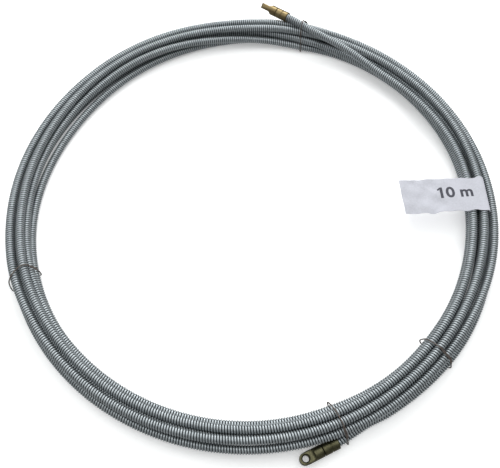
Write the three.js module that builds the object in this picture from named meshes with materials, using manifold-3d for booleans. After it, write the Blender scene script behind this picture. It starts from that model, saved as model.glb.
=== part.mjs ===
// A coiled draw-in spring (fish tape) for pulling cables through conduit: about ten metres of
// close-wound round-wire spring in a round coil, a brass pulling eye crimped on each end,
// four wire ties that hold the turns together, and a paper flag with the length.
// Millimetres, +Z up. The coil lies on Z = 0, and the whole object is centred on X = Y = 0.

import * as THREE from 'three';
import { mergeVertices } from 'three/addons/utils/BufferGeometryUtils.js';
import Module from 'manifold-3d';

const wasm = await Module();
wasm.setup();

// Spring and coil
const cordDia = 8; // outside of the close-wound spring
const wireDia = 2.24; // round wire that the spring is wound from
const coilMeanRadius = 213.5; // to the middle of the bundle of turns
const coilWidth = 27; // bundle of turns, across
const coilHeight = 22; // bundle of turns, from the floor to the top of its upper row
const coilCornerRadius = 8; // outer strands round the bundle's corners off
const coilSegments = 96;
const touchGap = 0.3; // between pieces that touch each other

// End fittings, along each fitting's own axis from where the cord enters
const ferruleWall = 0.8; // round the cord's socket
const fittingChamfer = 0.4;
const ferruleWeb = 2.2; // closed end of the ferrule, which the stud's neck turns in
const socketDepth = 9; // how far the cord sits in the ferrule
const crimpGrooveAt = 6.6;
const crimpGrooveWidth = 1.2;
const crimpGrooveDepth = 0.35;
const studHeadThickness = 1.8;
const studNeckDia = 3.6;
const studThreadLength = 6.4; // what the eye head is screwed on to
const plugLength = 9.6; // steel core that keeps the spring round under the crimp
const eyeHeadLength = 20.1;
const tongueThickness = 5.8;
const tongueFlatLength = 10.7;
const eyeHoleDia = 5.2;
const eyeHoleChamfer = 1; // countersink on both sides of the hole

// Wire ties: the angle round the coil of each, in degrees from +X
const tieDia = 1.1;
const tieTailLength = 5;
const tieTailSpread = 0.9; // each tail's distance from the middle between the two
const tieAngles = [75.3, 199.8, 288.9, 316.8];

// Length flag
const flagLength = 76;
const flagWidth = 34;
const flagThickness = 0.5;
const flagSlant = 3; // how much shorter one long edge is than the other
const flagFoldOffset = 3.5; // fold line, outward from the middle of the bundle
const flagAngle = -0.3;
const flagTurn = 1.7; // flag's own turn about the vertical, in degrees

// Free stretch of the lead end. Each point: angle in degrees, distance outward from the middle
// of the bundle, and height above the place where the cord would touch the bundle.
const leadRoute = [
  [47, -14.9, 0.1],
  [52.5, -14.0, 0.1],
  [58.2, -11.6, 0.1],
  [64, -8.3, 0.1],
  [69.6, -3.9, 0.1],
  [75.1, 2.9, 0.4],
  [78.1, 7.6, 1.0],
  [79.9, 11.1, 1.5],
];
const leadFittingYaw = 143.7; // heading of the fitting's axis, in degrees from +X
const leadFittingPitch = -3;
const leadEyeRoll = 48; // turn of the eye about that axis, from lying flat

// Free stretch of the tail end. Each point: angle in degrees, distance outward from the
// bundle's outer side, and height of the cord's middle above the floor.
const tailRoute = [
  [294.6, -4.6, 5.2],
  [292.1, -3.2, 5.6],
  [289.9, -1.6, 5.9],
  [287.6, 0.2, 6],
];
const tailFittingYaw = 205.6;
const tailFittingPitch = 0;
const tailEyeRoll = 0;

const radians = THREE.MathUtils.degToRad;
const cordRadius = cordDia / 2;
const tieRadius = tieDia / 2;
const fittingDia = cordDia + 2 * (touchGap + ferruleWall);
const fittingRadius = fittingDia / 2;
const springBoreDia = cordDia - 2 * wireDia;
const coilOuterRadius = coilMeanRadius + coilWidth / 2;
const studHeadStart = socketDepth + touchGap;
const webStart = studHeadStart + studHeadThickness + touchGap;
const ferruleLength = webStart + ferruleWeb;

const finishes = {
  spring: { color: 0x8f9a9b, roughness: 0.35, metalness: 0.9 },
  brass: { color: 0xb08d4a, roughness: 0.32, metalness: 0.95 },
  steel: { color: 0xa3a6a8, roughness: 0.4, metalness: 0.9 },
  tie: { color: 0x6e645f, roughness: 0.6, metalness: 0.5 },
  paper: { color: 0xd7d7e1, roughness: 0.85, metalness: 0 },
};
for (const name of Object.keys(finishes)) {
  finishes[name] = new THREE.MeshStandardMaterial(finishes[name]);
}

function piece(name, geometry, finish) {
  const mesh = new THREE.Mesh(geometry, finishes[finish]);
  mesh.name = name;
  return mesh;
}

function toSolid(geometry) {
  const bare = geometry.clone();
  bare.deleteAttribute('normal');
  bare.deleteAttribute('uv');
  const merged = mergeVertices(bare, 1e-4);
  return new wasm.Manifold(new wasm.Mesh({
    numProp: 3,
    vertProperties: new Float32Array(merged.attributes.position.array),
    triVerts: new Uint32Array(merged.index.array),
  }));
}

function toGeometry(solid) {
  const mesh = solid.getMesh();
  const geometry = new THREE.BufferGeometry();
  geometry.setAttribute('position', new THREE.BufferAttribute(mesh.vertProperties, 3));
  geometry.setIndex(new THREE.BufferAttribute(mesh.triVerts, 1));
  geometry.computeVertexNormals();
  return geometry;
}

// A round section with a given number of sides, for tubes.
function roundShape(radius, sides) {
  const points = [];
  for (let i = 0; i < sides; i += 1) {
    const turn = (2 * Math.PI * i) / sides;
    points.push(new THREE.Vector2(radius * Math.cos(turn), radius * Math.sin(turn)));
  }
  return new THREE.Shape(points);
}

function tubeAlong(curve, radius, sides, steps) {
  return new THREE.ExtrudeGeometry(roundShape(radius, sides), {
    steps,
    extrudePath: curve,
    bevelEnabled: false,
  });
}

// A body turned about X, from [radius, x] pairs that start and end on the axis or close.
function turned(profile, segments) {
  const points = profile.map(([radius, x]) => new THREE.Vector2(radius, x));
  return new THREE.LatheGeometry(points, segments).rotateZ(-Math.PI / 2);
}

// Outline of the bundle's section as [radius, z], anticlockwise, moved inwards by inset.
function bundleOutline(inset) {
  const arcSteps = 4;
  const corner = coilCornerRadius - inset;
  const halfFlat = coilWidth / 2 - coilCornerRadius;
  const lowZ = coilCornerRadius;
  const highZ = coilHeight - coilCornerRadius;
  const centres = [
    [halfFlat, lowZ, -90],
    [halfFlat, highZ, 0],
    [-halfFlat, highZ, 90],
    [-halfFlat, lowZ, 180],
  ];
  const outline = [];
  for (const [across, z, start] of centres) {
    for (let i = 0; i <= arcSteps; i += 1) {
      const turn = radians(start + (90 * i) / arcSteps);
      outline.push([
        coilMeanRadius + across + corner * Math.cos(turn),
        z + corner * Math.sin(turn),
      ]);
    }
  }
  return outline;
}

// Height at which a round thing of this radius rests on the bundle, at a distance from its middle.
function restingHeight(across, radius) {
  const halfFlat = coilWidth / 2 - coilCornerRadius;
  const beyond = Math.max(0, Math.abs(across) - halfFlat);
  const reach = coilCornerRadius + radius + touchGap;
  return coilHeight - coilCornerRadius + Math.sqrt(Math.max(0, reach ** 2 - beyond ** 2));
}

function around(angle, radius, z) {
  return new THREE.Vector3(radius * Math.cos(radians(angle)), radius * Math.sin(radians(angle)), z);
}

function heading(yaw, pitch) {
  return new THREE.Vector3(
    Math.cos(radians(pitch)) * Math.cos(radians(yaw)),
    Math.cos(radians(pitch)) * Math.sin(radians(yaw)),
    Math.sin(radians(pitch)),
  );
}

const leadHeading = heading(leadFittingYaw, leadFittingPitch);
const tailHeading = heading(tailFittingYaw, tailFittingPitch);

const leadPoints = leadRoute.map(([angle, across, above]) => around(
  angle,
  coilMeanRadius + across,
  restingHeight(across, cordRadius) + above,
));
const tailPoints = tailRoute.map(([angle, out, z]) => around(angle, coilOuterRadius + out, z));
const leadEntry = leadPoints[leadPoints.length - 1].clone();
const tailEntry = tailPoints[tailPoints.length - 1].clone();

// The cord runs straight inside its ferrule, so the route ends with two points on its axis.
function withSocket(points, direction, depth) {
  const entry = points[points.length - 1];
  const inside = [0.5 * depth, depth].map((x) => entry.clone().addScaledVector(direction, x));
  return new THREE.CatmullRomCurve3([...points, ...inside], false, 'centripetal');
}

const leadCurve = withSocket(leadPoints, leadHeading, socketDepth);
const tailCurve = withSocket(tailPoints, tailHeading, socketDepth);

// Turns local +X along the heading, with local +Z as near up as it goes, rolled about X.
function fittingFrame(entry, direction, roll) {
  const side = new THREE.Vector3(0, 0, 1).cross(direction).normalize();
  const up = direction.clone().cross(side);
  const matrix = new THREE.Matrix4().makeBasis(direction, side, up);
  matrix.multiply(new THREE.Matrix4().makeRotationX(radians(roll)));
  return matrix.setPosition(entry);
}

// ---- Spring ----

// Room that a fitting and its cord need in the coil's side.
function tailRoom() {
  const length = ferruleLength + touchGap + eyeHeadLength;
  const clear = fittingRadius + touchGap;
  const bar = turned([[0, -touchGap], [clear, -touchGap], [clear, length], [0, length]], 24);
  bar.applyMatrix4(fittingFrame(tailEntry, tailHeading, tailEyeRoll));
  const cord = tubeAlong(tailCurve, (cordRadius + touchGap) * 1.05, 12, 16);
  return toSolid(bar).add(toSolid(cord));
}

// Groove that one tie lies in, all the way round the bundle.
function tieGroove(angle) {
  const depth = tieDia + touchGap + 0.1;
  const width = tieDia + 2 * touchGap;
  const beyond = 2;
  const low = [coilMeanRadius - coilWidth / 2 - beyond, -beyond];
  const high = [coilMeanRadius + coilWidth / 2 + beyond, coilHeight + beyond];
  const slab = new THREE.Shape([
    new THREE.Vector2(low[0], low[1]),
    new THREE.Vector2(high[0], low[1]),
    new THREE.Vector2(high[0], high[1]),
    new THREE.Vector2(low[0], high[1]),
  ]);
  slab.holes.push(new THREE.Path(bundleOutline(depth).map(([r, z]) => new THREE.Vector2(r, z))));
  const geometry = new THREE.ExtrudeGeometry(slab, { depth: width, bevelEnabled: false });
  geometry.translate(0, 0, -width / 2);
  geometry.rotateX(Math.PI / 2);
  geometry.rotateZ(radians(angle));
  return toSolid(geometry);
}

function springCoil() {
  const outline = bundleOutline(0).map(([r, z]) => new THREE.Vector2(r, z));
  outline.push(outline[0].clone());
  const ring = new THREE.LatheGeometry(outline, coilSegments).rotateX(Math.PI / 2);
  let solid = toSolid(ring).subtract(tailRoom());
  for (const angle of tieAngles) {
    solid = solid.subtract(tieGroove(angle));
  }
  return piece('spring_coil', toGeometry(solid), 'spring');
}

// Free stretch of the spring, with the open bore that its core plug sits in at the end.
function springEnd(name, curve, direction, entry, steps) {
  const boreDepth = plugLength + touchGap;
  const bore = springBoreDia / 2;
  const cutter = turned([[0, -boreDepth], [bore, -boreDepth], [bore, 1], [0, 1]], 16);
  const end = entry.clone().addScaledVector(direction, socketDepth);
  cutter.applyMatrix4(fittingFrame(end, direction, 0));
  const tube = toSolid(tubeAlong(curve, cordRadius, 10, steps));
  return piece(name, toGeometry(tube.subtract(toSolid(cutter))), 'spring');
}

// ---- End fittings ----

const studNeckBore = studNeckDia / 2 + touchGap;
const eyeHeadStart = ferruleLength + touchGap;
const tipX = eyeHeadStart + eyeHeadLength;
const eyeCentreX = tipX - fittingRadius;

function ferrule(name) {
  const socket = cordRadius + touchGap;
  const grooveFloor = fittingRadius - crimpGrooveDepth;
  const halfGroove = crimpGrooveWidth / 2;
  const profile = [
    [socket, 0],
    [fittingRadius - fittingChamfer, 0],
    [fittingRadius, fittingChamfer],
    [fittingRadius, crimpGrooveAt - halfGroove],
    [grooveFloor, crimpGrooveAt - halfGroove / 2],
    [grooveFloor, crimpGrooveAt + halfGroove / 2],
    [fittingRadius, crimpGrooveAt + halfGroove],
    [fittingRadius, ferruleLength - fittingChamfer],
    [fittingRadius - fittingChamfer, ferruleLength],
    [studNeckBore, ferruleLength],
    [studNeckBore, webStart],
    [socket, webStart],
    [socket, 0],
  ];
  return piece(name, turned(profile, 32), 'brass');
}

function stud(name) {
  const headRadius = cordRadius - touchGap;
  const headEnd = studHeadStart + studHeadThickness;
  const end = eyeHeadStart + studThreadLength;
  const profile = [
    [0, studHeadStart],
    [headRadius, studHeadStart],
    [headRadius, headEnd],
    [studNeckDia / 2, headEnd],
    [studNeckDia / 2, end - fittingChamfer],
    [studNeckDia / 2 - fittingChamfer, end],
    [0, end],
  ];
  return piece(name, turned(profile, 24), 'steel');
}

function corePlug(name) {
  const radius = springBoreDia / 2 - touchGap;
  const end = socketDepth - 0.1;
  const profile = [[0, end - plugLength], [radius, end - plugLength], [radius, end], [0, end]];
  return piece(name, turned(profile, 16), 'steel');
}

function eyeHead(name) {
  const boreEnd = eyeHeadStart + studThreadLength + touchGap;
  const bar = turned([
    [0, boreEnd],
    [studNeckBore, boreEnd],
    [studNeckBore, eyeHeadStart],
    [fittingRadius - fittingChamfer, eyeHeadStart],
    [fittingRadius, eyeHeadStart + fittingChamfer],
    [fittingRadius, tipX],
    [0, tipX],
  ], 40);

  // Seen from above: straight sides and a round end about the hole.
  const plan = new THREE.Shape();
  plan.moveTo(eyeHeadStart - 1, -fittingDia);
  plan.lineTo(eyeCentreX, -fittingRadius);
  plan.absarc(eyeCentreX, 0, fittingRadius, -Math.PI / 2, Math.PI / 2, false);
  plan.lineTo(eyeHeadStart - 1, fittingDia);
  const planBody = new THREE.ExtrudeGeometry(plan, {
    depth: 2 * fittingDia,
    curveSegments: 20,
    bevelEnabled: false,
  }).translate(0, 0, -fittingDia);

  // Seen from the side: the round bar runs through milled hollows into the flat tongue.
  const flatStart = tipX - tongueFlatLength;
  const half = tongueThickness / 2;
  const millRadius = fittingRadius - half;
  const shoulder = flatStart - millRadius;
  const side = new THREE.Shape();
  side.moveTo(eyeHeadStart - 1, -fittingDia);
  side.lineTo(shoulder, -fittingDia);
  side.lineTo(shoulder, -fittingRadius);
  side.absarc(flatStart, -fittingRadius, millRadius, Math.PI, Math.PI / 2, true);
  side.lineTo(tipX + 1, -half);
  side.lineTo(tipX + 1, half);
  side.lineTo(flatStart, half);
  side.absarc(flatStart, fittingRadius, millRadius, -Math.PI / 2, -Math.PI, true);
  side.lineTo(shoulder, fittingDia);
  side.lineTo(eyeHeadStart - 1, fittingDia);
  const sideBody = new THREE.ExtrudeGeometry(side, {
    depth: 2 * fittingDia,
    curveSegments: 6,
    bevelEnabled: false,
  }).translate(0, 0, -fittingDia).rotateX(Math.PI / 2);

  // The hole, countersunk on both sides.
  const hole = eyeHoleDia / 2;
  const sink = hole + eyeHoleChamfer;
  const cutter = new THREE.LatheGeometry([
    [0, -half - 1],
    [sink + 1, -half - 1],
    [hole, -half + sink - hole],
    [hole, half - sink + hole],
    [sink + 1, half + 1],
    [0, half + 1],
  ].map(([radius, y]) => new THREE.Vector2(radius, y)), 32);
  cutter.rotateX(Math.PI / 2).translate(eyeCentreX, 0, 0);

  const head = toSolid(bar)
    .intersect(toSolid(planBody))
    .intersect(toSolid(sideBody))
    .subtract(toSolid(cutter));
  return piece(name, toGeometry(head), 'brass');
}

function fitting(prefix, entry, direction, roll) {
  const group = new THREE.Group();
  group.applyMatrix4(fittingFrame(entry, direction, roll));
  group.add(
    ferrule(`${prefix}_ferrule`),
    corePlug(`${prefix}_core_plug`),
    stud(`${prefix}_stud`),
    eyeHead(`${prefix}_eye_head`),
  );
  return group;
}

// ---- Wire ties ----

// Convex outline, clockwise, round a set of [radius, z] points.
function convexOutline(points) {
  const sorted = [...points].sort((a, b) => a[0] - b[0] || a[1] - b[1]);
  const half = (list) => {
    const chain = [];
    for (const p of list) {
      while (chain.length > 1) {
        const [a, b] = chain.slice(-2);
        if ((b[0] - a[0]) * (p[1] - a[1]) - (b[1] - a[1]) * (p[0] - a[0]) < -1e-9) break;
        chain.pop();
      }
      chain.push(p);
    }
    return chain.slice(0, -1);
  };
  return [...half(sorted), ...half(sorted.reverse())];
}

// Where a curve crosses the upright plane at an angle round the coil, as [radius, z].
function crossing(curve, angle) {
  let best = null;
  for (const p of curve.getPoints(300)) {
    const miss = Math.abs(Math.atan2(p.y, p.x) - Math.atan2(
      Math.sin(radians(angle)),
      Math.cos(radians(angle)),
    ));
    if (!best || miss < best.miss) best = { miss, at: [Math.hypot(p.x, p.y), p.z] };
  }
  return best.miss < radians(0.5) ? best.at : null;
}

function tieCurve(angle) {
  const points = bundleOutline(tieRadius + 0.1);
  for (const curve of [leadCurve, tailCurve]) {
    const at = crossing(curve, angle);
    if (!at) continue;
    const obliqueness = 1.15; // the cord crosses the tie's plane at a slant
    const reach = cordRadius * obliqueness + touchGap + tieRadius;
    for (let i = 0; i < 16; i += 1) {
      const turn = (2 * Math.PI * i) / 16;
      points.push([at[0] + reach * Math.cos(turn), at[1] + reach * Math.sin(turn)]);
    }
  }
  const innerR = coilMeanRadius - coilWidth / 2 + tieRadius + 0.1;
  const middleZ = coilHeight / 2;
  const clearOfTails = 2.6;
  const outline = convexOutline(points).filter(
    ([r, z]) => r > innerR + 0.2 || Math.abs(z - middleZ) > clearOfTails + 0.4,
  );
  // Start just above the tails, and go over the top and back underneath.
  const first = outline.reduce((best, [r, z], i) => {
    const above = z > middleZ && r < coilMeanRadius;
    const score = above ? z : Infinity;
    return score < best.score ? { score, i } : best;
  }, { score: Infinity, i: 0 }).i;
  const loop = [...outline.slice(first), ...outline.slice(0, first)];
  const path = [
    [innerR - tieTailLength, middleZ + tieTailSpread],
    [innerR - 0.5 * tieTailLength, middleZ + tieTailSpread],
    [innerR - 0.7, middleZ + tieTailSpread + 0.6],
    [innerR, middleZ + clearOfTails],
    ...loop,
    [innerR, middleZ - clearOfTails],
    [innerR - 0.7, middleZ - tieTailSpread - 0.6],
    [innerR - 0.5 * tieTailLength, middleZ - tieTailSpread],
    [innerR - tieTailLength, middleZ - tieTailSpread],
  ];
  const lowestZ = tieRadius + 0.15;
  return new THREE.CatmullRomCurve3(
    path.map(([r, z]) => new THREE.Vector3(r, 0, Math.max(z, lowestZ))),
    false,
    'centripetal',
  );
}

function wireTie(name, angle) {
  const mesh = piece(name, tubeAlong(tieCurve(angle), tieRadius, 6, 72), 'tie');
  mesh.rotation.z = radians(angle);
  return mesh;
}

// ---- Length flag ----

// A folded strip of paper that lies on the coil and reaches into its middle.
function lengthFlag() {
  const shape = new THREE.Shape([
    new THREE.Vector2(0, -flagWidth / 2),
    new THREE.Vector2(0, flagWidth / 2),
    new THREE.Vector2(-flagLength, flagWidth / 2),
    new THREE.Vector2(-flagLength + flagSlant, -flagWidth / 2),
  ].reverse());
  const paper = new THREE.ExtrudeGeometry(shape, { depth: flagThickness, bevelEnabled: false });
  const mesh = piece('length_flag', paper, 'paper');
  mesh.position.copy(around(flagAngle, coilMeanRadius + flagFoldOffset, coilHeight + touchGap));
  mesh.rotation.z = radians(flagAngle + flagTurn);
  return mesh;
}

// ---- Assembly ----

const assembly = new THREE.Group();
assembly.add(
  springCoil(),
  springEnd('spring_lead_end', leadCurve, leadHeading, leadEntry, 36),
  springEnd('spring_tail_end', tailCurve, tailHeading, tailEntry, 16),
  fitting('lead', leadEntry, leadHeading, leadEyeRoll),
  fitting('tail', tailEntry, tailHeading, tailEyeRoll),
  lengthFlag(),
);
tieAngles.forEach((angle, i) => assembly.add(wireTie(`wire_tie_${i + 1}`, angle)));

// Centre the whole object over the origin, standing on Z = 0.
assembly.updateMatrixWorld(true);
const extent = new THREE.Box3().setFromObject(assembly, true);
const middle = extent.getCenter(new THREE.Vector3());
assembly.position.set(-middle.x, -middle.y, -extent.min.z);

const model = new THREE.Group();
model.add(assembly);
model.updateMatrixWorld(true);

export default model;
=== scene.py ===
import math
import bmesh
import bpy
import numpy as np
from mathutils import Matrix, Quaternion, Vector


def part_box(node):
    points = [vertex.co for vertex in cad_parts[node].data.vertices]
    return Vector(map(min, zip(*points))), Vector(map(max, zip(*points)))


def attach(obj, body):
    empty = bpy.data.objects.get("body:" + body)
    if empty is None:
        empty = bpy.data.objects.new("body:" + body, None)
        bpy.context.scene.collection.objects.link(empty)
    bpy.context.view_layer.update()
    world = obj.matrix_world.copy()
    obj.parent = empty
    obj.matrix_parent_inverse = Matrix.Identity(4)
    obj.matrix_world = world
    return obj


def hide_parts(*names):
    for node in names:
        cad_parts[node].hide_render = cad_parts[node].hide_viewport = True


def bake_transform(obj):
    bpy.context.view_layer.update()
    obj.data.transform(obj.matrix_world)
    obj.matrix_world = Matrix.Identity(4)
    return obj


# A ten metre draw-in spring in a round coil, with a brass eye on each end, wire ties and a paper flag.
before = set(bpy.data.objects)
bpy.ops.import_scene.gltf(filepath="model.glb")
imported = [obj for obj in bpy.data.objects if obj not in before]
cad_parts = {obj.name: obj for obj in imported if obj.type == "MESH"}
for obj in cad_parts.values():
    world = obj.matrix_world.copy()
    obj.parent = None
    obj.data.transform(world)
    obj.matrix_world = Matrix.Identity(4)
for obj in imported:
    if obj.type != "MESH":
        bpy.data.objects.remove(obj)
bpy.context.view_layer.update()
print("frame loaded:", len(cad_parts), "nodes")

mm = 0.001
ringLow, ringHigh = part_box("spring_coil")
ringCentre = np.array([(ringLow.x + ringHigh.x) / 2, (ringLow.y + ringHigh.y) / 2, 0.0])


def addObject(name, data):
    made = bpy.data.objects.new(name, data)
    bpy.context.scene.collection.objects.link(made)
    return made


cameraPlace = {
    "elevation": 60.67,  # degrees above the floor, seen from the coil's middle
    "distance": 0.6006,  # from the coil's middle
    "aim": (-0.0012, -0.0280),  # looked-at point on the floor, from the coil's middle
    "focal": 1.2515,  # focal length as a share of the picture's width
    "roll": -0.25,  # degrees about the line of sight
}


def makeCamera(place):
    data = bpy.data.cameras.new("camera")
    data.sensor_width = 36
    data.lens = 36 * place["focal"]
    cam = addObject("camera", data)
    rise = math.radians(place["elevation"])
    back = place["distance"] * np.array([0, -math.cos(rise), math.sin(rise)])
    cam.location = ringCentre + back
    aim = ringCentre + np.array([*place["aim"], 0.0])
    look = (Vector(aim) - cam.location).to_track_quat("-Z", "Y")
    cam.rotation_mode = "QUATERNION"
    cam.rotation_quaternion = look @ Quaternion((0, 0, 1), math.radians(place["roll"]))
    bpy.context.scene.camera = cam


makeCamera(cameraPlace)
print("camera placed")


def hermite(keys, values, at):
    # cubic through (key, value) rows with slopes from the neighbours on each side:
    # p = (1 + 2u)(1 - u)^2 p0 + u^2 (3 - 2u) p1 + h u (1 - u)^2 m0 - h u^2 (1 - u) m1
    keys, values = np.asarray(keys, float), np.asarray(values, float)
    slope = np.gradient(values, keys, axis=0)
    i = np.clip(np.searchsorted(keys, at, side="right") - 1, 0, len(keys) - 2)
    h = (keys[i + 1] - keys[i])[:, None]
    u = ((at - keys[i]) / h[:, 0])[:, None]
    return (
        (1 + 2 * u) * (1 - u) ** 2 * values[i]
        + u**2 * (3 - 2 * u) * values[i + 1]
        + h * u * (1 - u) ** 2 * slope[i]
        - h * u**2 * (1 - u) * slope[i + 1]
    )


def evenly(line, step):
    # points at equal steps along a line
    along = np.concatenate([[0], np.cumsum(np.linalg.norm(np.diff(line, axis=0), axis=1))])
    at = np.arange(0, along[-1], step)
    return np.stack([np.interp(at, along, line[:, k]) for k in range(3)], axis=1)


def unit(rows):
    return rows / np.linalg.norm(rows, axis=-1)[..., None]


def bell(off, width):
    return np.exp(-((off / width) ** 2))


def lineFrames(line):
    # side S = up x T and rise N = T x S of a nearly level line with tangent T, of length one
    t = unit(np.gradient(line, axis=0))
    s = unit(np.cross([0.0, 0.0, 1.0], t))
    return s, np.cross(t, s)


def makeMesh(name, points, faces, smooth=True):
    mesh = bpy.data.meshes.new(name)
    mesh.from_pydata(np.asarray(points).tolist(), [], [list(f) for f in faces])
    mesh.polygons.foreach_set("use_smooth", [smooth] * len(mesh.polygons))
    mesh.update()
    return addObject(name, mesh)


# Angles are in degrees round the coil from +X, and the cord runs clockwise from the lead end.
springSizes = {
    "diameter": 0.008,
    "wire": 0.00224,  # round wire, close wound, so also the pitch
    "valley": 0.0029,  # from the centreline to the bottom of the groove between two wires
    "steps": 11,  # steps round each wire turn
    "bundleRadius": 0.2135,  # to the middle of the bundle of turns
    "socketDepth": 0.009,  # in each ferrule
    "gap": 0.00795,  # how near the middles of two strands may come
    "tieLift": 0.00125,  # how far a tie under the bundle lifts it
}
settling = {
    "rounds": 420,
    "easedFrom": 300,  # round after which the pull is weak
    "calmFrom": 380,  # round after which the smoothing is weak
    "pull": (0.07, 0.01),  # towards the chosen places, strong and weak
    "smoothing": (0.35, 0.1),
    "leadEase": 30,  # degrees in which a turn gets loose after the lead stretch
    "tailEase": 24,
    "tieSpread": 8,  # degrees on each side of a tie that it lifts
}
# the free stretches at the two ends: angle, distance from the coil's axis, height
leadRoute = [
    (79.9, 0.2246, 0.02645),
    (78.1, 0.2211, 0.02712),
    (75.1, 0.2164, 0.02670),
    (69.6, 0.2096, 0.02640),
    (64.0, 0.2052, 0.02608),
    (58.2, 0.2019, 0.02478),
    (52.5, 0.1995, 0.02299),
    (47.0, 0.1986, 0.02203),
]
tailRoute = [
    (294.6, 0.2224, 0.0052),
    (292.1, 0.2238, 0.0056),
    (289.9, 0.2254, 0.0059),
    (287.6, 0.2272, 0.0060),
]
# rows of each free stretch in the keys, with two inside its socket
leadRows, tailRows = len(leadRoute) + 2, len(tailRoute) + 2
leadHeading = (143.7, -3.0)  # yaw and pitch of the fitting's axis
tailHeading = (205.6, 0.0)
# Where the turns lie in the bundle, at these angles: millimetres outward from its middle, and height.
# The first place is the turn that starts at the lead end. None is where the free stretches run.
bundlePlaces = {
    60: [None, (1, 18.3), (8.8, 17.8), (0.5, 11), (-8.1, 11.3), (-2, 4), (6, 4), (14, 4)],
    25: [(-7.4, 18.5), (4, 18), (12.6, 14.5), (3.2, 10.6), (-7.3, 11.3), (-3.2, 4), (4.8, 4), (12.8, 4)],
    352: [(-10, 18), (0.8, 18), (11, 13), (4, 10.7), (-9.2, 10.5), (-6.3, 4), (1.7, 4), (9.6, 4)],
    325: [(-10, 18), (-2.2, 18), (5, 16.5), (1, 10.2), (-10, 10.8), (-8, 4), (0.2, 4), (11.8, 4.5)],
    309: [(-9.5, 18), (-1.7, 18), (5.9, 15.7), (-1, 10), (-9.8, 10.6), (-6.5, 4), (1.5, 4), None],
    292: [(-7.1, 18), (0.6, 18), (7.6, 14.3), (-0.5, 10.2), (-9.6, 10.7), (-7.5, 4), (1.5, 4), None],
    265: [(-4, 17.5), (3.8, 18), (10, 11), (0.5, 10.8), (-8, 11), (-9.3, 4), (-0.5, 4), None],
    240: [(-2.6, 18), (5, 17), (10, 10.5), (1.2, 11), (-7.3, 11), (-6.5, 4), (2.5, 4), None],
    195: [(-1, 18), (8, 17.5), (10, 5), (4, 11), (-4.3, 11), (-5.5, 4), (2, 4), None],
    150: [(0.5, 18), (9, 15.5), (9.5, 4), (4.2, 11), (-3.8, 11), (-12.5, 4), (-1.5, 4), None],
    123: [(3, 18), (10.8, 17.5), (8, 4), (4, 11), (-4.5, 16.5), (-9, 6), (-1, 4), None],
    92: [(-1.3, 18.3), (7.6, 18), (10.7, 10.5), (2.7, 11), (-9.2, 11), (-3, 4), (5, 4), None],
}
leadLanding = (36.0, 0.2016, 0.0199)  # where the lead stretch comes down on to the bundle
tieAngles = [75.3, 199.8, 288.9, 316.8]


def direction(heading):
    yaw, pitch = np.radians(heading)
    return np.array([np.cos(pitch) * np.cos(yaw), np.cos(pitch) * np.sin(yaw), np.sin(pitch)])


def around(angle, radius, height):
    turn = np.radians(angle)
    return np.stack([radius * np.cos(turn), radius * np.sin(turn), height + 0 * turn], axis=-1)


def routeKeys(sizes):
    # rows of (degrees run clockwise from the lead ferrule, distance from the axis, height)
    start = leadRoute[0][0]
    rows = []
    for depth in (1, 0.5):
        p = around(*leadRoute[0]) + depth * sizes["socketDepth"] * direction(leadHeading)
        rows.append((start - math.degrees(math.atan2(p[1], p[0])), math.hypot(p[0], p[1]), p[2]))
    rows += [(start - angle, radius, height) for angle, radius, height in leadRoute]
    rows.append((start - leadLanding[0], *leadLanding[1:]))
    turns = len(next(iter(bundlePlaces.values())))
    for turn in range(turns):
        for angle, places in bundlePlaces.items():
            if places[turn]:
                run = (start - angle) % 360 + 360 * turn
                out, height = places[turn]
                rows.append((run, sizes["bundleRadius"] + out * mm, height * mm))
    last = (turns - 1) * 360
    rows += [((start - angle) % 360 + last, radius, height) for angle, radius, height in tailRoute]
    for depth in (0.5, 1):
        p = around(*tailRoute[-1]) + depth * sizes["socketDepth"] * direction(tailHeading)
        angle = math.degrees(math.atan2(p[1], p[0]))
        rows.append(((start - angle) % 360 + last, math.hypot(p[0], p[1]), p[2]))
    return np.array(rows)


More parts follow.
